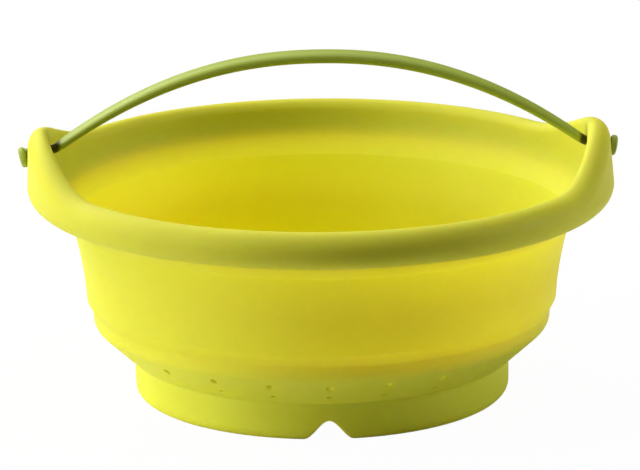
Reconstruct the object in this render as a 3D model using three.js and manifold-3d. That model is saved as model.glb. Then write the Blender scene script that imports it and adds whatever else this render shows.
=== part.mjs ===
// Collapsible colander: a soft bowl that folds flat, with a swing-over bail.
// Millimetres, +Z up. The origin is on the ground under the middle of the foot.
// The front of the bowl faces -Y, and the two ears lie along X.

import * as THREE from "three";
import { mergeVertices } from "three/addons/utils/BufferGeometryUtils.js";
import Module from "manifold-3d";

const wasm = await Module();
wasm.setup();

// Heights, stacked from the ground up
const footHeight = 20;
const drainRise = 16;
const ringHeight = 12;
const wallHeight = 34.6;
const collarHeight = 7.4;
const webRise = 4.8;
const rimHeight = 17.4;

// Radial steps, stacked from the foot outwards
const footRadius = 89.8;
const footStep = 2;
const drainRun = 17.4;
const foldStep = 3;
const wallFlare = 5.6;
const collarFlare = 1.6;
const webRun = 6.8;
const rimWidth = 13.8;

// Wall thicknesses, measured level
const footWall = 7.5;
const drainWall = 4.4;
const foldThickness = 1.8;
const ridgeWall = 4.2;
const webThickness = 3.4;

// Foot and floor
const footEdgeRadius = 5.5;
const footLand = 1.5;
const notchCount = 4;
const notchWidth = 24;
const notchHeight = 10;
const floorUnderside = 14;
const floorThickness = 3.5;
const floorHoleRadius = 2.5;
const floorHolePitch = 17;
const floorHoleMargin = 6;

// Drain holes, placed by their distance up the slope from its lower edge
const drainHoleCount = 23;
const drainHoleRadius = 2;
const drainHoleUp = 14.1;
const seepHoleRadius = 1.3;
const seepHoleUp = 4.7;

// Lower ring, folding wall and collar
const ringUpright = 6;
const wallBow = 1.1;
const ridgeUp = 6;

// Rim, ears and stiffening hoop
const rimNose = 8.4;
const rimLip = 3.2;
const rimLean = 1.2;
const earRise = 19;
const earHalfAngle = THREE.MathUtils.degToRad(32);
const pivotRise = 7.3;
const hoopWidth = 5.6;
const hoopHeight = 6;
const hoopInset = 2.2;
const hoopLift = 2;

// Bail
const archHeight = 44.2;
const archPower = 2.2;
const archBlend = 1.5;
const archGap = 1.1;
const strapWidth = 13;
const strapThickness = 3.4;
const neckRadius = 2.5;
const headRadius = 5;
const headThickness = 3.6;
const headEdgeRadius = 1.6;
const headSocketDepth = 2;

// Clearances
const seam = 0.3;
const neckClearance = 1;
const headGap = 0.5;
const cutterOverrun = 2;

// Facets round the bowl, along the bail and round small features
const ringSegments = 72;
const arcSteps = 4;
const wallSteps = 6;
const strapSteps = 44;
const strapSides = 12;
const holeSides = 8;
const headSides = 20;
const notchSteps = 12;

// Heights and radii that several pieces share
const drainBase = footHeight;
const ringBase = drainBase + drainRise;
const wallBase = ringBase + ringHeight;
const collarBase = wallBase + wallHeight;
const webBase = collarBase + collarHeight;
const rimBase = webBase + webRise;
const rimTop = rimBase + rimHeight;
const pivotHeight = rimTop + pivotRise;
const footInner = footRadius - footWall;
const drainRadius = footRadius + footStep;
const ringRadius = drainRadius + drainRun;
const foldRadius = ringRadius + foldStep;
const collarRadius = foldRadius + wallFlare;
const webRadius = collarRadius + collarFlare;
const rimInner = webRadius + webRun;
const rimRadius = rimInner + rimWidth;
const halfSeam = seam / 2;

const lime = { color: 0xd6d62e, roughness: 0.42, metalness: 0 };
const thinLime = { color: 0xdcd428, roughness: 0.42, metalness: 0 };
const olive = { color: 0xa3b651, roughness: 0.38, metalness: 0 };
const paleNylon = { color: 0xc9cbb8, roughness: 0.5, metalness: 0 };

const at = (radius, height) => new THREE.Vector2(radius, height);

// A quarter turn or less of a round edge in a section, from one angle to another.
function roundEdge(radius, height, bend, from, to) {
  const curve = new THREE.EllipseCurve(radius, height, bend, bend, from, to, to < from);
  return curve.getPoints(arcSteps);
}

// A closed section, listed anticlockwise as (radius, height), turned about Z.
function turnSection(section) {
  const lathe = new THREE.LatheGeometry([...section, section[0]], ringSegments);
  return lathe.rotateX(Math.PI / 2);
}

function toSolid(geometry) {
  const bare = geometry.index ? geometry.toNonIndexed() : geometry.clone();
  bare.deleteAttribute("normal");
  bare.deleteAttribute("uv");
  const merged = mergeVertices(bare, 1e-4);
  return new wasm.Manifold(
    new wasm.Mesh({
      numProp: 3,
      vertProperties: new Float32Array(merged.attributes.position.array),
      triVerts: new Uint32Array(merged.index.array),
    }),
  );
}

function toGeometry(solid) {
  const mesh = solid.getMesh();
  const geometry = new THREE.BufferGeometry();
  geometry.setAttribute("position", new THREE.BufferAttribute(mesh.vertProperties, mesh.numProp));
  geometry.setIndex(new THREE.BufferAttribute(mesh.triVerts, 1));
  geometry.computeVertexNormals();
  return geometry;
}

function cut(geometry, cutters) {
  let solid = toSolid(geometry);
  for (const cutter of cutters) {
    solid = solid.subtract(toSolid(cutter));
  }
  return toGeometry(solid);
}

function mesh(name, geometry, look) {
  const made = new THREE.Mesh(geometry, new THREE.MeshStandardMaterial(look));
  made.name = name;
  return made;
}

// The bell-shaped notch at the bottom of the foot, standing across the -Y side of the foot.
function notchCutter() {
  const outline = new THREE.Shape();
  const bottom = -cutterOverrun;
  outline.moveTo(-notchWidth / 2, bottom);
  for (let i = 0; i <= notchSteps; i += 1) {
    const across = i / notchSteps - 0.5;
    const swell = Math.cos(Math.PI * across) ** 2;
    outline.lineTo(notchWidth * across, (notchHeight + seam) * swell - seam);
  }
  outline.lineTo(notchWidth / 2, bottom);
  const depth = footWall + 2 * notchWidth;
  const bell = new THREE.ExtrudeGeometry(outline, { depth, bevelEnabled: false });
  return bell.rotateX(Math.PI / 2).translate(0, notchWidth - footInner, 0);
}

function footRing() {
  const bend = Math.min(footEdgeRadius, footWall - footLand);
  const top = drainBase - halfSeam;
  const section = [
    at(footInner, 0),
    ...roundEdge(footRadius - bend, bend, bend, -Math.PI / 2, 0),
    at(footRadius, top),
    at(footInner, top),
  ];
  const notches = [];
  for (let i = 0; i < notchCount; i += 1) {
    notches.push(notchCutter().rotateZ((i * 2 * Math.PI) / notchCount));
  }
  return mesh("foot_ring", cut(turnSection(section), notches), lime);
}

// A perforated disc inside the foot: one hole in the middle, then rings of six, twelve and so on.
function floorDisc() {
  const radius = footInner - seam;
  const top = floorUnderside + floorThickness;
  const profile = [at(0, floorUnderside), at(radius, floorUnderside), at(radius, top), at(0, top)];
  const disc = new THREE.LatheGeometry(profile, ringSegments).rotateX(Math.PI / 2);
  const length = floorThickness + 2 * cutterOverrun;
  const upright = new THREE.CylinderGeometry(floorHoleRadius, floorHoleRadius, length, holeSides);
  upright.rotateX(Math.PI / 2).translate(0, 0, floorUnderside + floorThickness / 2);
  const rows = Math.floor((radius - floorHoleMargin - floorHoleRadius) / floorHolePitch);
  const holes = [upright.clone()];
  for (let row = 1; row <= rows; row += 1) {
    const count = 6 * row;
    for (let i = 0; i < count; i += 1) {
      const hole = upright.clone().translate(row * floorHolePitch, 0, 0);
      holes.push(hole.rotateZ((i * 2 * Math.PI) / count));
    }
  }
  return mesh("floor_disc", cut(disc, holes), lime);
}

// A hole square through the drain slope, on the -Y side, at a distance up the slope from its lower edge.
function slopeHole(radius, up) {
  const slope = Math.atan2(drainRise, drainRun);
  const length = 2 * drainWall + 2 * cutterOverrun;
  const hole = new THREE.CylinderGeometry(radius, radius, length, holeSides);
  hole.rotateX(-slope - Math.PI / 2);
  const reach = drainRadius + up * Math.cos(slope) - drainWall / 2;
  return hole.translate(0, -reach, drainBase + up * Math.sin(slope));
}

// The sloping band above the foot, whose lower edge stands out over the foot a little.
function drainBand() {
  const low = halfSeam;
  const lowShift = (drainRun * low) / drainRise;
  const section = [
    at(drainRadius + lowShift - drainWall, drainBase + low),
    at(drainRadius + lowShift, drainBase + low),
    at(ringRadius - lowShift, ringBase - low),
    at(ringRadius - lowShift - drainWall, ringBase - low),
  ];
  const holes = [];
  for (let i = 0; i < drainHoleCount; i += 1) {
    const turn = (i * 2 * Math.PI) / drainHoleCount;
    holes.push(slopeHole(drainHoleRadius, drainHoleUp).rotateZ(turn));
    holes.push(slopeHole(seepHoleRadius, seepHoleUp).rotateZ(turn));
  }
  return mesh("drain_band", cut(turnSection(section), holes), lime);
}

// The stiff ring above the slope: upright at first, then stepping out to the lower fold.
function lowerFoldRing() {
  const bottom = ringBase + halfSeam;
  const top = wallBase - halfSeam;
  const shoulder = ringBase + ringUpright;
  const middle = (shoulder + top) / 2;
  const section = [
    at(ringRadius - drainWall, bottom),
    at(ringRadius, bottom),
    at(ringRadius, shoulder),
    at(ringRadius + foldStep / 2, middle),
    at(foldRadius, top),
    at(foldRadius - foldThickness, top),
    at(ringRadius - drainWall, middle),
  ];
  return mesh("lower_fold_ring", turnSection(section), lime);
}

// The thin wall between the two folds, bowed inwards a little.
function foldWall() {
  const low = at(foldRadius, wallBase + halfSeam);
  const high = at(collarRadius, collarBase - halfSeam);
  const pull = low.clone().lerp(high, 0.5);
  pull.x -= 2 * wallBow;
  const outside = new THREE.QuadraticBezierCurve(low, pull, high).getPoints(wallSteps);
  const inside = outside.map((point) => at(point.x - foldThickness, point.y)).reverse();
  return mesh("fold_wall", turnSection([...outside, ...inside]), thinLime);
}

// The stiffer collar above the wall: a ridge inside, then a web that flares out under the rim.
function upperCollar() {
  const bottom = collarBase + halfSeam;
  const edge = rimInner - halfSeam;
  const ridge = at(collarRadius + collarFlare - ridgeWall, collarBase + ridgeUp);
  const section = [
    at(collarRadius - foldThickness, bottom),
    at(collarRadius, bottom),
    at(webRadius, webBase),
    at(edge, rimBase),
    at(edge, rimBase + webThickness),
    ridge,
  ];
  return mesh("upper_collar", turnSection(section), lime);
}

// How far the rim is raised at a place round the bowl: two smooth humps, one on each side.
function earLift(x, y) {
  const away = Math.atan2(Math.abs(y), Math.abs(x));
  const share = Math.min(away / earHalfAngle, 1);
  return (earRise * (1 + Math.cos(Math.PI * share))) / 2;
}

// The fat rim with its round outside, a channel for the hoop below, two ears and the bail holes.
// The ears rise from above the channel, so they are solid round the holes.
function rimBand() {
  const channelInner = rimInner + hoopInset - seam;
  const channelOuter = rimInner + hoopInset + hoopWidth + seam;
  const channelTop = rimBase + hoopLift + hoopHeight + seam;
  const liftFrom = Math.max(rimBase + rimHeight / 2, channelTop + seam);
  const nose = Math.min(rimNose, rimTop - liftFrom - seam);
  const noseRadius = rimRadius - nose;
  const noseStart = -Math.acos(Math.max(0, channelOuter - noseRadius) / nose);
  const innerTop = rimInner + rimLean;
  const section = [
    at(rimInner + halfSeam, rimBase),
    at(channelInner, rimBase),
    at(channelInner, channelTop),
    at(channelOuter, channelTop),
    ...roundEdge(noseRadius, rimBase + nose, nose, noseStart, 0),
    ...roundEdge(noseRadius, rimTop - nose, nose, 0, Math.PI / 2),
    ...roundEdge(innerTop + rimLip, rimTop - rimLip, rimLip, Math.PI / 2, Math.PI),
    at(rimInner + halfSeam, rimBase + webThickness),
  ];
  const band = turnSection(section);
  const place = band.attributes.position;
  for (let i = 0; i < place.count; i += 1) {
    if (place.getZ(i) > liftFrom) {
      place.setZ(i, place.getZ(i) + earLift(place.getX(i), place.getY(i)));
    }
  }
  const bore = neckRadius + neckClearance;
  const length = 2 * (rimRadius + cutterOverrun);
  const hole = new THREE.CylinderGeometry(bore, bore, length, 2 * holeSides);
  hole.rotateZ(Math.PI / 2).translate(0, 0, pivotHeight);
  return mesh("rim_band", cut(band, [hole]), lime);
}

function rimHoop() {
  const inner = rimInner + hoopInset;
  const outer = inner + hoopWidth;
  const bottom = rimBase + hoopLift;
  const top = bottom + hoopHeight;
  const section = [at(inner, bottom), at(outer, bottom), at(outer, top), at(inner, top)];
  return mesh("rim_hoop", turnSection(section), paleNylon);
}

// Closed loops of points joined in order, with a flat cap at each end.
function loft(loops) {
  const sides = loops[0].length;
  const points = loops.flat();
  const index = [];
  for (let row = 0; row + 1 < loops.length; row += 1) {
    for (let i = 0; i < sides; i += 1) {
      const here = row * sides + i;
      const beside = row * sides + ((i + 1) % sides);
      index.push(here, beside, beside + sides, here, beside + sides, here + sides);
    }
  }
  const last = points.length - sides;
  for (let i = 1; i + 1 < sides; i += 1) {
    index.push(0, i + 1, i, last, last + i, last + i + 1);
  }
  const geometry = new THREE.BufferGeometry().setFromPoints(points);
  geometry.setIndex(index);
  geometry.computeVertexNormals();
  return geometry;
}

// The bail: an arch that runs out into a level neck at each end, broad on top and round at the necks.
function bailStrap() {
  const span = rimInner + rimLean - archGap;
  const reach = rimRadius + headGap + headSocketDepth - seam;
  const heightAt = (x) => {
    const lift = archHeight * (1 - Math.abs(x / span) ** archPower);
    return pivotHeight + (lift + Math.hypot(lift, archBlend)) / 2;
  };
  const loops = [];
  for (let step = 0; step <= strapSteps; step += 1) {
    const x = reach * Math.sin(Math.PI * (step / strapSteps - 0.5));
    const slope = Math.atan2(heightAt(x + seam) - heightAt(x - seam), 2 * seam);
    const breadth = Math.max(0, 1 - (x / span) ** 2);
    const halfWidth = THREE.MathUtils.lerp(neckRadius, strapWidth / 2, breadth);
    const halfThick = THREE.MathUtils.lerp(neckRadius, strapThickness / 2, Math.cbrt(breadth));
    const squareness = 1 - breadth / 2;
    const loop = [];
    for (let side = 0; side < strapSides; side += 1) {
      const turn = (side * 2 * Math.PI) / strapSides;
      const across = Math.sign(Math.cos(turn)) * Math.abs(Math.cos(turn)) ** squareness * halfWidth;
      const out = Math.sign(Math.sin(turn)) * Math.abs(Math.sin(turn)) ** squareness * halfThick;
      loop.push(
        new THREE.Vector3(x - out * Math.sin(slope), across, heightAt(x) + out * Math.cos(slope)),
      );
    }
    loops.push(loop);
  }
  return mesh("bail_strap", loft(loops), olive);
}

// A button head that holds the neck in its ear; side is -1 on the left and 1 on the right.
function bailHead(name, side) {
  const socket = neckRadius + seam;
  const bend = headEdgeRadius;
  const profile = [
    at(0, headSocketDepth),
    at(socket, headSocketDepth),
    at(socket, 0),
    ...roundEdge(headRadius - bend, bend, bend, -Math.PI / 2, 0),
    ...roundEdge(headRadius - bend, headThickness - bend, bend, 0, Math.PI / 2),
    at(0, headThickness),
  ];
  const head = new THREE.LatheGeometry(profile, headSides);
  const made = mesh(name, head, olive);
  made.rotation.z = -side * (Math.PI / 2);
  made.position.set(side * (rimRadius + headGap), 0, pivotHeight);
  return made;
}

const colander = new THREE.Group();
colander.add(footRing(), floorDisc(), drainBand(), lowerFoldRing(), foldWall());
colander.add(upperCollar(), rimBand(), rimHoop());
colander.add(bailStrap(), bailHead("bail_head_left", -1), bailHead("bail_head_right", 1));

export default colander;
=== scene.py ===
import math

import bmesh
import bpy
import numpy as np
from mathutils import Matrix, Vector
from mathutils.geometry import delaunay_2d_cdt


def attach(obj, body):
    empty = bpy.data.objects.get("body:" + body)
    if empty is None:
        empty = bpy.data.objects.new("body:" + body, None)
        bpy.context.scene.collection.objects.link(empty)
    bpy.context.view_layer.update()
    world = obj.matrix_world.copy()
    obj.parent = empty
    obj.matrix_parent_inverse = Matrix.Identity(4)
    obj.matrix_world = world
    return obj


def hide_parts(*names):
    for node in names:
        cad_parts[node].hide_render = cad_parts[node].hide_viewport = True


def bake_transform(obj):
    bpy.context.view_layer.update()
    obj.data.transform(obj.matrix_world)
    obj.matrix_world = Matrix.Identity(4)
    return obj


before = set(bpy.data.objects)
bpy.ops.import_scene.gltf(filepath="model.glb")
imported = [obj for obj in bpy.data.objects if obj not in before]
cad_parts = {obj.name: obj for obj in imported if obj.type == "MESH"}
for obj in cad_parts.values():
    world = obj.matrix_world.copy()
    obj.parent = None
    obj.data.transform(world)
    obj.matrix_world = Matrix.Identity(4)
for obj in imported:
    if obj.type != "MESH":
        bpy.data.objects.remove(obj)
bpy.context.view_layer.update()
scene = bpy.context.scene
scene.view_settings.view_transform = "Standard"
mm = 0.001
pivotHeight = 119.5  # the line through the ears that the bail turns on
sharpAngle = 40  # edges with more of a turn than this stay sharp
lipAngles = (0, 30, 60, 90)  # steps round the lip of a hole
noiseSpan = (0.3, 0.7)  # nearly all of a noise lies between these
print("frame loaded,", len(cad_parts), "nodes")

# the photo's view: a long lens, a little to the left and tipped by less than half a degree
camera = {
    "target": (0, 0, 76.29),
    "distance": 2549.2,
    "elevation": 14.778,
    "yaw": -2.0,
    "roll": -0.441,
    "lens": 299.4,
    "sensor": 36,
    "shift": -0.0017,
    "clip": (0.05, 50),
}


def placeCamera(values):
    data = bpy.data.cameras.new("viewpoint")
    data.lens = values["lens"]
    data.sensor_width = values["sensor"]
    data.shift_x = values["shift"]
    data.clip_start, data.clip_end = values["clip"]
    eye = bpy.data.objects.new("viewpoint", data)
    scene.collection.objects.link(eye)
    turn = (
        Matrix.Rotation(math.radians(values["yaw"]), 3, "Z")
        @ Matrix.Rotation(math.radians(90 - values["elevation"]), 3, "X")
        @ Matrix.Rotation(math.radians(values["roll"]), 3, "Z")
    )
    back = turn @ Vector((0, 0, 1))
    eye.location = (Vector(values["target"]) + back * values["distance"]) * mm
    eye.rotation_euler = turn.to_euler()
    scene.camera = eye


placeCamera(camera)
print("camera placed")


# mesh makers, all in millimetres
def addPiece(name, points, faces):
    mesh = bpy.data.meshes.new(name)
    mesh.from_pydata([(x * mm, y * mm, z * mm) for x, y, z in points], [], faces)
    mesh.validate()
    smoothMesh(mesh)
    piece = bpy.data.objects.new(name, mesh)
    scene.collection.objects.link(piece)
    return piece


def smoothMesh(mesh):
    mesh.shade_smooth()
    mesh.set_sharp_from_angle(angle=math.radians(sharpAngle))


def smoothStep(low, high, value):
    t = min(max((value - low) / (high - low), 0), 1)
    return t * t * (3 - 2 * t)


# closed path through corners of (radius, height, bend, rise), each corner rounded by its bend
# gap is the longest step along it, and stretch makes the steps shorter where the rise changes
def roundedPath(corners, gap, stretch=0):
    straight, tight, fine, coarse = 0.02, 2, 12, 24  # least turn, tight bend in mm, degrees per step
    places = [np.array(c[:2], float) for c in corners]
    rows = []
    for k, (radius, height, bend, rise) in enumerate(corners):
        here = places[k]
        inward = here - places[k - 1]
        onward = places[(k + 1) % len(corners)] - here
        turn = math.atan2(inward[0] * onward[1] - inward[1] * onward[0], inward @ onward)
        if not bend or abs(turn) < straight:
            rows.append((radius, height, rise))
            continue
        inward = inward / np.linalg.norm(inward)
        start = here - inward * bend * math.tan(abs(turn) / 2)
        centre = start + math.copysign(bend, turn) * np.array((-inward[1], inward[0]))
        steps = max(2, math.ceil(abs(turn) / math.radians(fine if bend > tight else coarse)))
        for s in range(steps + 1):
            c, n = math.cos(turn * s / steps), math.sin(turn * s / steps)
            arm = start - centre
            rows.append((centre[0] + c * arm[0] - n * arm[1], centre[1] + n * arm[0] + c * arm[1], rise))
    rows = np.array(rows)
    filled = []
    for here, after in zip(rows, np.roll(rows, -1, axis=0)):
        length = np.linalg.norm((after - here)[:2]) + stretch * abs(after[2] - here[2])
        parts = max(1, math.ceil(length / gap))
        filled += [here + (after - here) * s / parts for s in range(parts)]
    return np.array(filled)


def arcPoints(radius, height, bend, first, last, steps, rise):
    angles = np.radians(np.linspace(first, last, steps + 1))
    return [(radius + bend * math.cos(a), height + bend * math.sin(a), 0, rise) for a in angles]


# quads between columns round the axis and rows of a closed section
def ringFaces(columns, rows, skip=()):
    faces = []
    for i in range(columns):
        here, beside = i * rows, ((i + 1) % columns) * rows
        for j in range(rows):
            up = (j + 1) % rows
            if (i, j) not in skip:
                faces.append((here + j, beside + j, beside + up, here + up))
    return faces


def loopFaces(first, second):
    count = len(first)
    return [(first[k], first[(k + 1) % count], second[(k + 1) % count], second[k]) for k in range(count)]


bowl = {
    "columns": 368,
    "footInner": 82.3,
    "footRadius": 89.8,
    "footEdge": 5.5,
    "floorSeat": (84.7, 17.5),  # where the inside of the slope meets the floor
    "lipHeight": 19.3,
    "slopeStart": (92.1, 20.0),
    "ringRadius": 109.5,
    "ringBase": 36.0,
    "ringShoulder": 42.2,
    "shoulderInside": 0.8,  # how much higher the step starts inside
    "ringWall": 2.2,
    "foldRadius": 112.5,
    "wallBase": 48.0,
    "bendFrom": 42.8,  # the height the fold bends from when the real bowl is folded flat, so its crest clears the bail
    "collarRadius": 118.2,
    "collarBase": 82.6,
    "wallBow": 0.9,
    "wallRows": (0.08, 1, 13),  # first and last share of the way up, and how many
    "wallThickness": (1.4, 1.75, 1.1),  # at the lower fold, halfway up and at the collar
    "drainWall": 4.4,
    "webRadius": 119.0,
    "webBase": 86.5,
    "rimInner": 126.2,
    "rimBase": 94.8,
    "rimRadius": 140.0,
    "rimTop": 112.2,
    "rimNose": 8.4,
    "noseGap": 7,  # degrees of the nose left free above the channel
    "rimFace": (1.2, 0.1, 3.5),  # how far it leans out at the top and at the bottom, and where the bottom is
    "noseSteps": (9, 12),  # below and above its middle
    "channel": (128.1, 134.3, 103.1),  # inside, outside and top of the groove for the hoop
    "ridge": (118.3, 87.05),  # the crease inside, between wall and rim
    "earRise": (18.2, 19.2),  # left ear, right ear
    "earInner": (2.4, 0.4),  # how far the faces of the ears lean out at the top
    "earOuter": (-0.6, -1.8),
    "earFront": 31.0,
    "earBack": 40.0,
    "earMiddle": -3.0,
    "notchCount": 4,
    "notchWidth": 24.0,
    "notchHeight": 10.0,
    "notchFade": 1.2,  # how fast the foot above a notch runs level again
    "boreRadius": 4.0,
    "boreMiddle": 134.0,
    "boreLength": 24.0,
    "borePoints": 40,
    "wallFrom": (30.0, 46.0),  # heights between which the thick band turns into the thin wall
    "rimFrom": (121.5, 128.5),  # radii between which the thin web turns into the rim
    "bends": {
        "foot": 1.0, "lip": 0.5, "ringBase": 7.0, "ringTop": 3.0, "fold": 2.0, "web": 2.5, "rimUnder": 1.0,
        "channelMouth": 0.5, "channel": 0.4, "rimLip": 4.5, "rimFace": 22.0, "ridge": 2.5, "foldInside": 1.5,
        "ringInside": 2.0, "seat": 1.2, "seatEdge": 0.4,
    },
    "gap": 3.2,  # longest step along the section
    # rows of holes up the slope, half is the reach of the block of cells that each one takes up
    "drainHoles": {
        "count": 23, "radius": 1.5, "lip": 0.5, "stretch": (1.0, 1.5),
        "up": 14.1, "half": 4.4, "rows": 8, "columns": 3,
    },
    "seepHoles": {
        "count": 23, "radius": 0.8, "lip": 0.3, "stretch": (1.6, 1.1),
        "up": 4.7, "half": 2.4, "rows": 4, "columns": 2,
    },
}


# how far up the ear a place round the rim is, from 0 to 1, and which ear it is
def earShare(angle):
    side = 0 if math.cos(angle) < 0 else 1
    away = math.degrees(math.asin(math.sin(angle))) - bowl["earMiddle"]
    half = bowl["earFront"] if away < 0 else bowl["earBack"]
    return (1 + math.cos(math.pi * min(abs(away) / half, 1))) / 2, side


# how high the bottom of the foot stands at a place, under the four bell-shaped notches
def notchLift(radius, angle):
    spacing = 2 * math.pi / bowl["notchCount"]
    off = (angle + math.pi / 2 + spacing / 2) % spacing - spacing / 2
    across = radius * math.sin(off) / bowl["notchWidth"]
    if abs(across) >= 0.5:
        return 0
    return bowl["notchHeight"] * math.cos(math.pi * across) ** 2


def slopeFrame():
    low = np.array(bowl["slopeStart"])
    high = np.array((bowl["ringRadius"], bowl["ringBase"]))
    along = (high - low) / np.linalg.norm(high - low)
    out = np.array((along[1], -along[0]))
    return low, along, out, bowl["drainWall"] * along[1]


def slopeRows():
    ups = []
    for kind in ("seepHoles", "drainHoles"):
        hole = bowl[kind]
        ups += list(np.linspace(hole["up"] - hole["half"], hole["up"] + hole["half"], hole["rows"] + 1))
    return ups


def wallCurve(inside=False):
    low = np.array((bowl["foldRadius"], bowl["wallBase"]))
    high = np.array((bowl["collarRadius"], bowl["collarBase"]))
    pull = (low + high) / 2 - np.array((2 * bowl["wallBow"], 0))
    points = []
    for t in np.linspace(*bowl["wallRows"]):
        p = (1 - t) ** 2 * low + 2 * t * (1 - t) * pull + t * t * high
        thick = np.interp(t, (0, 0.5, 1), bowl["wallThickness"]) if inside else 0
        points.append((p[0] - thick, p[1], 0, 0))
    return points


def bowlSection():
    b, bends = bowl, bowl["bends"]
    low, along, out, thick = slopeFrame()
    outerSlope = [(*(low + u * along), 0, 0) for u in slopeRows()]
    innerSlope = [(*(low + u * along - thick * out), 0, 0) for u in reversed(slopeRows())]
    lipRadius = low[0] - (low[1] - b["lipHeight"]) * along[0] / along[1]
    nose, noseCentre = b["rimNose"], b["rimRadius"] - b["rimNose"]
    stepsBelow, stepsAbove = b["noseSteps"]
    channelIn, channelOut, channelTop = b["channel"]
    noseStart = -math.degrees(math.acos((channelOut - noseCentre) / nose)) + b["noseGap"]
    noseFoot = b["rimBase"] + nose - math.sqrt(nose ** 2 - (channelOut - noseCentre) ** 2)
    innerRing = b["ringRadius"] - b["ringWall"]
    slopeInner = low - thick * out
    innerBase = slopeInner[1] + (innerRing - slopeInner[0]) * along[1] / along[0]
    leanTop, leanBottom, faceFoot = b["rimFace"]
    seatRadius, seatHeight = b["floorSeat"]
    corners = [
        (b["footInner"], 0, bends["foot"], 0),
        (b["footRadius"], 0, b["footEdge"], 0),
        (b["footRadius"], b["lipHeight"], bends["foot"], 0),
        (lipRadius, b["lipHeight"], bends["lip"], 0),
        *outerSlope,
        (b["ringRadius"], b["ringBase"], bends["ringBase"], 0),
        (b["ringRadius"], b["ringShoulder"], bends["ringTop"], 0),
        (b["foldRadius"], b["wallBase"], bends["fold"], 0),
        *wallCurve(),
        (b["webRadius"], b["webBase"], bends["web"], 0),
        (b["rimInner"], b["rimBase"], bends["rimUnder"], 0),
        (channelIn, b["rimBase"], bends["channelMouth"], 0),
        (channelIn, channelTop, bends["channel"], 0),
        (channelOut, channelTop, bends["channel"], 0),
        (channelOut, noseFoot, bends["channel"], 0),
        *arcPoints(noseCentre, b["rimBase"] + nose, nose, noseStart, 0, stepsBelow, 0),
        *arcPoints(noseCentre, b["rimTop"] - nose, nose, 0, 90, stepsAbove, 1),
        (b["rimInner"] + leanTop, b["rimTop"], bends["rimLip"], 1),
        (b["rimInner"] + leanBottom, b["rimBase"] + faceFoot, bends["rimFace"], 0),
        (*b["ridge"], bends["ridge"], 0),
        *reversed(wallCurve(inside=True)[:-1]),
        (b["foldRadius"] - b["wallThickness"][0], b["wallBase"], bends["foldInside"], 0),
        (innerRing, b["ringShoulder"] + b["shoulderInside"], bends["ringInside"], 0),
        (innerRing, innerBase, bends["ringInside"], 0),
        *innerSlope,
        (seatRadius, seatHeight, bends["seat"], 0),
        (b["footInner"], seatHeight, bends["seatEdge"], 0),
    ]
    return roundedPath(corners, b["gap"], max(b["earRise"]))


def bowlPoint(row, angle):
    radius, height, rise = row
    slack = 0.01
    if radius < bowl["footRadius"] + slack and height < bowl["lipHeight"]:
        lift = notchLift(radius, angle)
        share = (max(height, 0) / bowl["lipHeight"]) ** (1 + bowl["notchFade"] * lift / bowl["notchHeight"])
        height = lift + (bowl["lipHeight"] - lift) * share
    if rise:
        share, side = earShare(angle)
        height += rise * share * bowl["earRise"][side]
        across = min(max((radius - bowl["rimInner"]) / (bowl["rimRadius"] - bowl["rimInner"]), 0), 1)
        inner, outer = bowl["earInner"][side], bowl["earOuter"][side]
        radius += rise * share * (inner + (outer - inner) * across)
    return radius * math.cos(angle), radius * math.sin(angle), height


# an oval hole through the drain slope: rings from a block of cells in to the bore and out the other side
def punchHole(points, faces, rows, kind, column):
    hole = bowl[kind]
    low, along, out, thick = slopeFrame()
    total = len(rows)
    ups = np.linspace(-hole["half"], hole["half"], hole["rows"] + 1)
    centre = low + hole["up"] * along
    middle = columnAngle(column)
    reach = hole["columns"]

    def rowAt(up, depth):
        target = centre + up * along - depth * out
        return int(np.argmin(np.hypot(rows[:, 0] - target[0], rows[:, 1] - target[1])))

    edge = [(i, ups[0]) for i in range(-reach, reach)]
    edge += [(reach, u) for u in ups[:-1]]
    edge += [(i, ups[-1]) for i in range(reach, -reach, -1)]
    edge += [(-reach, u) for u in ups[:0:-1]]
    flat = [(centre[0] * i * 2 * math.pi / bowl["columns"], u) for i, u in edge]
    turns = [math.atan2(v, a) for a, v in flat]

    def ring(spots, depth):
        first = len(points)
        for a, v in spots:
            radius, height = centre + v * along - depth * out
            angle = middle + a / centre[0]
            points.append((radius * math.cos(angle), radius * math.sin(angle), height))
        return list(range(first, len(points)))

    def oval(radius):
        wide, tall = hole["stretch"]
        return [(wide * radius * math.cos(t), tall * radius * math.sin(t)) for t in turns]

    def between(radius, share):
        return [(a + (c - a) * share, v + (d - v) * share) for (a, v), (c, d) in zip(flat, oval(radius))]

    def gridLoop(depth):
        return [((column + i) % bowl["columns"]) * total + rowAt(u, depth) for i, u in edge]

    wide, lip = hole["radius"] + hole["lip"], hole["lip"]
    shares = (0.5, 0.82)  # two rings on the way from the block's edge to the lip
    loops = [gridLoop(0)] + [ring(between(wide, share), 0) for share in shares]
    bends = np.radians(lipAngles)
    for bend in bends:
        loops.append(ring(oval(wide - lip * math.sin(bend)), lip * (1 - math.cos(bend))))
    for bend in bends[::-1]:
        loops.append(ring(oval(wide - lip * math.sin(bend)), thick - lip * (1 - math.cos(bend))))
    loops += [ring(between(wide, share), thick) for share in reversed(shares)] + [gridLoop(thick)]
    for first, second in zip(loops, loops[1:]):
        faces += loopFaces(first, second)


def blockCells(rows, kind, column):
    hole = bowl[kind]
    low, along, out, thick = slopeFrame()
    cells = set()
    for depth in (0, thick):
        ends = [low + (hole["up"] + s * hole["half"]) * along - depth * out for s in (-1, 1)]
        found = sorted(int(np.argmin(np.hypot(rows[:, 0] - e[0], rows[:, 1] - e[1]))) for e in ends)
        for j in range(*found):
            cells |= {((column + i) % bowl["columns"], j) for i in range(-hole["columns"], hole["columns"])}
    return cells


def columnAngle(column):
    return -math.pi / 2 + 2 * math.pi * column / bowl["columns"]


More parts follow.
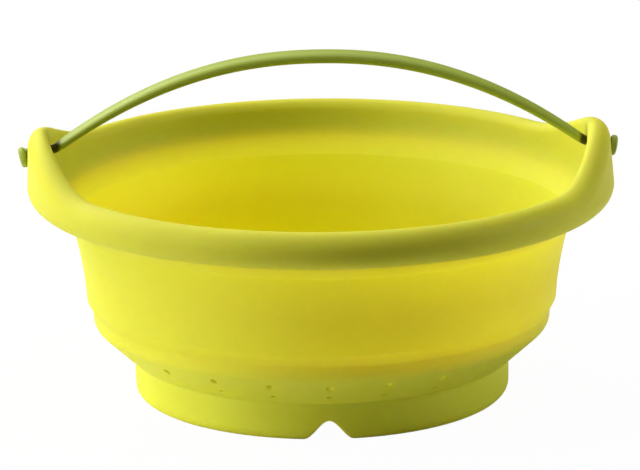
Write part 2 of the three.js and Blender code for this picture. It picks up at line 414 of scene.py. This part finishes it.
def makeBowl():
    rows = bowlSection()
    count = bowl["columns"]
    points = [bowlPoint(row, columnAngle(i)) for i in range(count) for row in rows]
    spots = []
    for kind in ("drainHoles", "seepHoles"):
        number = bowl[kind]["count"]
        spots += [(kind, k * count // number) for k in range(number)]
    skip = set()
    for kind, column in spots:
        skip |= blockCells(rows, kind, column)
    faces = ringFaces(count, len(rows), skip)
    for kind, column in spots:
        punchHole(points, faces, rows, kind, column)
    keep = sorted({v for f in faces for v in f})
    fresh = {v: n for n, v in enumerate(keep)}
    piece = addPiece("bowl", [points[v] for v in keep], [[fresh[v] for v in f] for f in faces])
    boreEars(piece)
    markZones(piece.data)
    print("bowl made,", len(piece.data.polygons), "faces")
    return piece


def boreEars(piece):
    cutter = bpy.data.meshes.new("earBore")
    shape = bmesh.new()
    for side in (-1, 1):
        place = Matrix.Translation(Vector((side * bowl["boreMiddle"], 0, pivotHeight)) * mm)
        bmesh.ops.create_cone(
            shape, cap_ends=True, segments=bowl["borePoints"],
            radius1=bowl["boreRadius"] * mm, radius2=bowl["boreRadius"] * mm,
            depth=bowl["boreLength"] * mm, matrix=place @ Matrix.Rotation(math.pi / 2, 4, "Y"),
        )
    shape.to_mesh(cutter)
    shape.free()
    tool = bpy.data.objects.new("earBore", cutter)
    scene.collection.objects.link(tool)
    cut = piece.modifiers.new("bore", "BOOLEAN")
    cut.operation = "DIFFERENCE"
    cut.solver = "EXACT"
    cut.object = tool
    bpy.context.view_layer.update()
    made = bpy.data.meshes.new_from_object(piece.evaluated_get(bpy.context.evaluated_depsgraph_get()))
    piece.modifiers.clear()
    piece.data = made
    bpy.data.objects.remove(tool)
    smoothMesh(made)


# the silicone's zones along the section: 0 at foot and drain band, a half on the thin wall, 1 in the rim
def markZones(mesh):
    zone = mesh.attributes.new("zone", "FLOAT", "POINT")
    for vertex, value in zip(mesh.vertices, zone.data):
        x, y, z = vertex.co / mm
        high = smoothStep(bowl["collarBase"], bowl["webBase"], z)
        inRim = high * smoothStep(*bowl["rimFrom"], math.hypot(x, y))
        value.value = 0.5 * smoothStep(*bowl["wallFrom"], z) + 0.5 * inRim


colanderFloor = {
    "radius": 82.9,
    "top": 17.48,
    "bottom": 14.0,
    "holeRadius": 2.5,
    "holeLip": 0.6,
    "pitch": 17.0,
    "rings": 4,
    "edgePoints": 184,
    "holePoints": 24,
}


def makeFloor():
    f = colanderFloor
    centres = [(0.0, 0.0)]
    for ring in range(1, f["rings"] + 1):
        turns = [k * math.pi / (3 * ring) for k in range(6 * ring)]
        centres += [(ring * f["pitch"] * math.cos(t), ring * f["pitch"] * math.sin(t)) for t in turns]
    wide = f["holeRadius"] + f["holeLip"]

    def circle(x, y, radius, count):
        turns = [2 * math.pi * k / count for k in range(count)]
        return [(x + radius * math.cos(t), y + radius * math.sin(t)) for t in turns]

    flat = circle(0, 0, f["radius"], f["edgePoints"])
    loops = [list(range(len(flat)))]
    for x, y in centres:
        loops.append(list(range(len(flat), len(flat) + f["holePoints"])))
        flat += circle(x, y, wide, f["holePoints"])
    edges = [(loop[k - 1], loop[k]) for loop in loops for k in range(len(loop))]
    tolerance = 1e-6
    found = delaunay_2d_cdt([Vector(p) for p in flat], edges, [], 0, tolerance)
    flat, triangles = [tuple(p) for p in found[0]], found[2]

    def solid(face):
        inside = 0.98 * wide  # the middle of a triangle in a hole lies closer to the hole's centre than this
        x, y = np.mean([flat[v] for v in face], axis=0)
        return all(math.hypot(x - a, y - b) > inside for a, b in centres)

    triangles = [tuple(t) for t in triangles if solid(t)]
    shift = len(flat)
    points = [(x, y, f["top"]) for x, y in flat] + [(x, y, f["bottom"]) for x, y in flat]
    faces = triangles + [tuple(v + shift for v in reversed(t)) for t in triangles]
    faces += loopFaces([v + shift for v in loops[0]], loops[0])
    bends = np.radians(lipAngles[1:])
    steps = [(wide - f["holeLip"] * math.sin(b), f["top"] - f["holeLip"] * (1 - math.cos(b))) for b in bends]
    steps += [(r, f["top"] + f["bottom"] - z) for r, z in reversed(steps)]
    for (x, y), loop in zip(centres, loops[1:]):
        rings = [loop]
        for radius, height in steps:
            first = len(points)
            points += [(*p, height) for p in circle(x, y, radius, f["holePoints"])]
            rings.append(list(range(first, len(points))))
        rings.append([v + shift for v in loop])
        for first, second in zip(rings, rings[1:]):
            faces += loopFaces(second, first)
    return addPiece("bowl_floor", points, faces)


hoop = {"inner": 128.4, "outer": 134.0, "bottom": 96.8, "top": 102.8, "bend": 0.8, "gap": 3, "columns": 184}


def makeHoop():
    h = hoop
    inner, outer, bottom, top = h["inner"], h["outer"], h["bottom"], h["top"]
    corners = [(inner, bottom), (outer, bottom), (outer, top), (inner, top)]
    rows = roundedPath([(*c, h["bend"], 0) for c in corners], h["gap"])
    points = []
    for i in range(h["columns"]):
        angle = 2 * math.pi * i / h["columns"]
        points += [(r * math.cos(angle), r * math.sin(angle), z) for r, z, rise in rows]
    return addPiece("rim_hoop_smooth", points, ringFaces(h["columns"], len(rows)))


bail = {
    "archHeight": 43.3,
    "archPower": 2.15,
    "archBlend": 1.5,
    "span": 126.3,
    "shift": -0.1,
    "neckLift": 1.2,
    "neckTilt": 0.1,
    "tiltFrom": 124.0,
    "tiltBlend": 3.0,
    "shoulder": (122.8, 124.8),
    "topWidth": 13.0,
    "endWidth": 12.4,
    "topThickness": 5.7,
    "endThickness": 4.0,
    "taperPower": 2.2,
    "edgePower": 2.7,  # 2 is an ellipse, more is squarer
    "neckRadius": 2.2,
    # painted shade on the strap's necks, where the ears shade them, as a span along the strap
    "neckShade": (122.8, 125.0, 130.0, 133.0),  # where it starts, is full, starts to fade and is gone
    "steps": 240,
    "edgePoints": 40,
    "headRadius": 4.9,
    "headThickness": 3.0,
    "headBend": 1.2,
    # the face rises by edge at that share of the radius and by middle at the core, which is left open
    "headDome": {"share": 0.6, "edge": 0.2, "middle": 0.25, "bend": 2.0, "core": 0.01},
    "headGap": 0.8,
    "headColumns": 48,
    "ends": {
        "left": {"side": -1, "headStart": 139.9, "headHeight": 117.0, "headTilt": 0.26},
        "right": {"side": 1, "headStart": 138.5, "headHeight": 118.4, "headTilt": 0.18},
    },
}


def bailHeight(x):
    b = bail
    lift = b["archHeight"] * (1 - abs(x / b["span"]) ** b["archPower"])
    past = abs(x) - b["tiltFrom"]
    droop = b["neckTilt"] * (past + math.hypot(past, b["tiltBlend"])) / 2
    return pivotHeight + b["neckLift"] + (lift + math.hypot(lift, b["archBlend"])) / 2 - droop


# half width, half thickness and squareness of the strap at a place along it
def bailSize(x):
    b = bail
    out = min(abs(x) / b["shoulder"][0], 1) ** b["taperPower"]
    width = (b["topWidth"] + (b["endWidth"] - b["topWidth"]) * out) / 2
    thick = (b["topThickness"] + (b["endThickness"] - b["topThickness"]) * out) / 2
    neck = smoothStep(*b["shoulder"], abs(x))
    width += (b["neckRadius"] - width) * neck
    thick += (b["neckRadius"] - thick) * neck
    return width, thick, b["edgePower"] + (2 - b["edgePower"]) * neck


def makeStrap():
    b = bail
    left, right = (e["side"] * (e["headStart"] + b["headThickness"] / 2) for e in b["ends"].values())
    points, loops = [], []
    aside = 0.2  # for the slope at a place
    for step in range(b["steps"] + 1):
        x = (left + right) / 2 + (right - left) / 2 * math.sin(math.pi * (step / b["steps"] - 0.5))
        slope = math.atan2(bailHeight(x + aside) - bailHeight(x - aside), 2 * aside)
        width, thick, power = bailSize(x)
        first = len(points)
        for k in range(b["edgePoints"]):
            turn = 2 * math.pi * k / b["edgePoints"]
            c, n = math.cos(turn), math.sin(turn)
            across = width * math.copysign(abs(c) ** (2 / power), c)
            out = thick * math.copysign(abs(n) ** (2 / power), n)
            height = bailHeight(x) + out * math.cos(slope)
            points.append((b["shift"] + x - out * math.sin(slope), across, height))
        loops.append(list(range(first, len(points))))
    faces = []
    for first, second in zip(loops, loops[1:]):
        faces += loopFaces(first, second)
    faces += [loops[0][::-1], loops[-1]]
    piece = addPiece("bail_strap_smooth", points, faces)
    # mask of painted shade at the necks, darkest between the strap's end and the ear
    neckShade = piece.data.attributes.new("neckShade", "FLOAT", "POINT")
    for vertex, value in zip(piece.data.vertices, neckShade.data):
        out = abs(vertex.co.x / mm - b["shift"])
        value.value = smoothStep(*b["neckShade"][:2], out) * (1 - smoothStep(*b["neckShade"][2:], out))
    return piece


def makeHead(name, end):
    b, dome = bail, bail["headDome"]
    half = b["headThickness"] / 2
    wide = b["headRadius"]
    corners = [
        (dome["core"], -half, 0, 0),
        (wide, -half, b["headBend"], 0),
        (wide, half, b["headBend"], 0),
        (dome["share"] * wide, half + dome["edge"], dome["bend"], 0),
        (dome["core"], half + dome["middle"], 0, 0),
    ]
    rows = roundedPath(corners, b["headGap"])
    x = end["side"] * (end["headStart"] + half)
    turn = end["side"] * (math.pi / 2 + math.atan(end["headTilt"]))
    place = Matrix.Translation((b["shift"] + x, 0, end["headHeight"])) @ Matrix.Rotation(turn, 4, "Y")
    points = []
    for i in range(b["headColumns"]):
        angle = 2 * math.pi * i / b["headColumns"]
        for radius, height, rise in rows:
            points.append(tuple(place @ Vector((radius * math.cos(angle), radius * math.sin(angle), height))))
    return addPiece(name, points, ringFaces(b["headColumns"], len(rows)))


# finishes
def newFinish(name):
    finish = bpy.data.materials.new(name)
    finish.use_nodes = True
    nodes, links = finish.node_tree.nodes, finish.node_tree.links
    return finish, nodes, links, nodes["Principled BSDF"]


def addNoise(nodes, links, coords, scale, detail, roughness=0.5):
    noise = nodes.new("ShaderNodeTexNoise")
    noise.inputs["Scale"].default_value = scale
    noise.inputs["Detail"].default_value = detail
    noise.inputs["Roughness"].default_value = roughness
    links.new(coords.outputs["Object"], noise.inputs["Vector"])
    return noise


# spreads a noise from low to high
def addRange(nodes, links, source, low, high):
    span = nodes.new("ShaderNodeMapRange")
    span.inputs["From Min"].default_value, span.inputs["From Max"].default_value = noiseSpan
    span.inputs["To Min"].default_value = low
    span.inputs["To Max"].default_value = high
    links.new(source, span.inputs["Value"])
    return span


def addBump(nodes, links, height, values):
    bump = nodes.new("ShaderNodeBump")
    bump.inputs["Strength"].default_value = values["grain"]
    bump.inputs["Distance"].default_value = values["grainDepth"]
    links.new(height, bump.inputs["Height"])
    return bump.outputs["Normal"]


def addBlend(nodes, links, factor, first, second):
    mix = nodes.new("ShaderNodeMix")
    mix.data_type = "RGBA"
    mix.inputs["A"].default_value = (*first, 1)
    mix.inputs["B"].default_value = (*second, 1)
    links.new(factor, mix.inputs["Factor"])
    return mix


silicone = {
    "tints": ((0.730, 0.737, 0.050), (0.690, 0.652, 0.036), (0.665, 0.650, 0.044)),  # foot, wall, rim: one silicone, the three tints partly painted light, the wall's golden tint standing for glow through the thin wall and the greener foot and darker rim for thick silicone in shade
    "depths": (0.0013, 0.0085, 0.0038),  # how deep light goes in, in metres
    "patchy": 0.025,
    "patchNoise": (22, 4),  # scale, detail and roughness of each noise
    "roughness": (0.56, 0.66),
    "rubNoise": (70, 6, 0.6),
    "specular": 0.3,
    "ior": 1.41,
    "subsurface": 1.0,
    "radius": (1.0, 0.72, 0.10),
    "grain": 0.04,
    "grainDepth": 0.0002,
    "grainNoise": (2600, 3, 0.6),
}


# a colour for each of the three zones, run together between them
def addRamp(nodes, links, source, stops):
    ramp = nodes.new("ShaderNodeValToRGB")
    bar = ramp.color_ramp.elements
    bar.new(0.5)
    for element, place, colour in zip(bar, (0, 0.5, 1), stops):
        element.position = place
        element.color = (*colour, 1)
    links.new(source, ramp.inputs["Fac"])
    return ramp.outputs["Color"]


def makeSilicone():
    finish, nodes, links, shader = newFinish("soft_silicone")
    coords = nodes.new("ShaderNodeTexCoord")
    zone = nodes.new("ShaderNodeAttribute")
    zone.attribute_name = "zone"
    cloud = addNoise(nodes, links, coords, *silicone["patchNoise"])
    patch = addRange(nodes, links, cloud.outputs["Fac"], 1 - silicone["patchy"], 1 + silicone["patchy"])
    tint = nodes.new("ShaderNodeMix")
    tint.data_type = "RGBA"
    tint.blend_type = "MULTIPLY"
    tint.inputs["Factor"].default_value = 1
    links.new(addRamp(nodes, links, zone.outputs["Fac"], silicone["tints"]), tint.inputs["A"])
    links.new(patch.outputs["Result"], tint.inputs["B"])
    links.new(tint.outputs["Result"], shader.inputs["Base Color"])
    rub = addNoise(nodes, links, coords, *silicone["rubNoise"])
    gloss = addRange(nodes, links, rub.outputs["Fac"], *silicone["roughness"])
    links.new(gloss.outputs["Result"], shader.inputs["Roughness"])
    grain = addNoise(nodes, links, coords, *silicone["grainNoise"])
    links.new(addBump(nodes, links, grain.outputs["Fac"], silicone), shader.inputs["Normal"])
    depths = [(d, d, d) for d in silicone["depths"]]
    links.new(addRamp(nodes, links, zone.outputs["Fac"], depths), shader.inputs["Subsurface Scale"])
    shader.inputs["Specular IOR Level"].default_value = silicone["specular"]
    shader.inputs["Subsurface Weight"].default_value = silicone["subsurface"]
    shader.inputs["Subsurface Radius"].default_value = silicone["radius"]
    shader.inputs["IOR"].default_value = silicone["ior"]
    return finish


nylon = {
    "colour": ((0.372, 0.458, 0.056), (0.396, 0.488, 0.064)),
    "patchNoise": (45, 3),
    # the colour the necks are darkened to: painted shade
    "neckShade": (0.055, 0.050, 0.012),
    "roughness": (0.42, 0.52),
    "rubNoise": (160, 5, 0.6),
    "specular": 0.3,
    "grain": 0.05,
    "grainDepth": 0.0002,
    "grainNoise": (3200, 2),
}


def makeNylon(name, values):
    finish, nodes, links, shader = newFinish(name)
    coords = nodes.new("ShaderNodeTexCoord")
    cloud = addNoise(nodes, links, coords, *values["patchNoise"])
    patch = addRange(nodes, links, cloud.outputs["Fac"], 0, 1)
    tint = addBlend(nodes, links, patch.outputs["Result"], *values["colour"])
    # where the mask is set, the base colour runs to the painted shade colour
    if "neckShade" in values:
        shadeMask = nodes.new("ShaderNodeAttribute")
        shadeMask.attribute_name = "neckShade"
        unshaded, tint = tint, addBlend(nodes, links, shadeMask.outputs["Fac"], (0, 0, 0), values["neckShade"])
        links.new(unshaded.outputs["Result"], tint.inputs["A"])
    links.new(tint.outputs["Result"], shader.inputs["Base Color"])
    rub = addNoise(nodes, links, coords, *values["rubNoise"])
    gloss = addRange(nodes, links, rub.outputs["Fac"], *values["roughness"])
    links.new(gloss.outputs["Result"], shader.inputs["Roughness"])
    grain = addNoise(nodes, links, coords, *values["grainNoise"])
    links.new(addBump(nodes, links, grain.outputs["Fac"], values), shader.inputs["Normal"])
    shader.inputs["Specular IOR Level"].default_value = values["specular"]
    return finish


hoopNylon = {
    "colour": ((0.56, 0.57, 0.47), (0.60, 0.61, 0.50)),
    "patchNoise": (45, 3),
    "roughness": (0.42, 0.55),
    "rubNoise": (160, 5, 0.6),
    "specular": 0.4,
    "grain": 0.06,
    "grainDepth": 0.0002,
    "grainNoise": (3200, 2),
}

siliconeFinish = makeSilicone()
bailFinish = makeNylon("bail_nylon", nylon)
hoopFinish = makeNylon("hoop_nylon", hoopNylon)
print("finishes made")


def dress(piece, finish, slot, *nodes):
    piece.data.materials.clear()
    piece.data.materials.append(finish)
    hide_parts(*nodes)


bowlPiece = makeBowl()
bowlNodes = ("foot_ring", "drain_band", "lower_fold_ring", "fold_wall", "upper_collar", "rim_band")
dress(bowlPiece, siliconeFinish, "silicone", *bowlNodes)
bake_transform(bowlPiece)

floorPiece = makeFloor()
dress(floorPiece, siliconeFinish, "silicone", "floor_disc")
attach(floorPiece, "base")

hoopPiece = makeHoop()
dress(hoopPiece, hoopFinish, "hoop_nylon", "rim_hoop")
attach(hoopPiece, "rim")
print("floor and hoop made")

strapPiece = makeStrap()
dress(strapPiece, bailFinish, "bail_nylon", "bail_strap")
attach(strapPiece, "bail")
for name, end in bail["ends"].items():
    headPiece = makeHead("bail_head_" + name + "_smooth", end)
    dress(headPiece, bailFinish, "bail_nylon", "bail_head_" + name)
    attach(headPiece, "bail")
print("bail made")

studio = {
    "floorWhite": 0.975,  # share of plain white that the camera sees on the floor, the rest is lit and shaded
    "floorColour": (0.84, 0.84, 0.83),
    "floorReach": (4.0, 0.32, 4.0),  # to the sides, in front and behind: the table ends close by in front
    "floorDrop": 0.0002,
    "floorRoughness": 0.9,
    "lampAway": 3.2,
    "lampSize": 1.8,
    "aim": 0.08,
    "lamps": {  # degrees round from the front and up, and watts
        "key": (-80, 12, 66.0),
        "high": (-83, 43, 40.0),
        "backLeft": (-144, 34, 51.0),
        "back": (180, 45, 12.0),
        "right": (92, 15, 36.0),
        "top": (0, 88, 31.0),
    },
}


def addLamp(name, side, height, power):
    data = bpy.data.lights.new(name, "AREA")
    data.shape = "SQUARE"
    data.size = studio["lampSize"]
    data.energy = power
    lamp = bpy.data.objects.new(name, data)
    scene.collection.objects.link(lamp)
    side, height = math.radians(side), math.radians(height)
    way = Vector((math.sin(side) * math.cos(height), -math.cos(side) * math.cos(height), math.sin(height)))
    lamp.location = Vector((0, 0, studio["aim"])) + way * studio["lampAway"]
    lamp.rotation_euler = way.to_track_quat("Z", "Y").to_euler()


def makeStudio():
    air = bpy.data.worlds.new("studioAir")
    scene.world = air
    air.use_nodes = True
    nodes, links = air.node_tree.nodes, air.node_tree.links
    dark = nodes["Background"]
    dark.inputs["Strength"].default_value = 0
    white = nodes.new("ShaderNodeBackground")
    white.inputs["Color"].default_value = (1, 1, 1, 1)
    white.inputs["Strength"].default_value = 1
    mix = nodes.new("ShaderNodeMixShader")
    links.new(nodes.new("ShaderNodeLightPath").outputs["Is Camera Ray"], mix.inputs["Fac"])
    links.new(dark.outputs["Background"], mix.inputs[1])
    links.new(white.outputs["Background"], mix.inputs[2])
    links.new(mix.outputs["Shader"], nodes["World Output"].inputs["Surface"])

    side, front, rear = studio["floorReach"]
    mesh = bpy.data.meshes.new("studioFloor")
    corners = [(-side, -front, 0), (side, -front, 0), (side, rear, 0), (-side, rear, 0)]
    mesh.from_pydata(corners, [], [(0, 1, 2, 3)])
    ground = bpy.data.objects.new("studioFloor", mesh)
    ground.location.z = -studio["floorDrop"]
    scene.collection.objects.link(ground)
    paint = bpy.data.materials.new("studioFloor")
    paint.use_nodes = True
    nodes, links = paint.node_tree.nodes, paint.node_tree.links
    matte = nodes["Principled BSDF"]
    matte.inputs["Base Color"].default_value = (*studio["floorColour"], 1)
    matte.inputs["Roughness"].default_value = studio["floorRoughness"]
    glow = nodes.new("ShaderNodeEmission")
    glow.inputs["Color"].default_value = (1, 1, 1, 1)
    glow.inputs["Strength"].default_value = 1
    share = nodes.new("ShaderNodeMath")
    share.operation = "MULTIPLY"
    links.new(nodes.new("ShaderNodeLightPath").outputs["Is Camera Ray"], share.inputs[0])
    share.inputs[1].default_value = studio["floorWhite"]
    mix = nodes.new("ShaderNodeMixShader")
    links.new(share.outputs["Value"], mix.inputs["Fac"])
    links.new(matte.outputs["BSDF"], mix.inputs[1])
    links.new(glow.outputs["Emission"], mix.inputs[2])
    links.new(mix.outputs["Shader"], nodes["Material Output"].inputs["Surface"])
    mesh.materials.append(paint)
    for name, values in studio["lamps"].items():
        addLamp(name, *values)


makeStudio()
print("studio lit")
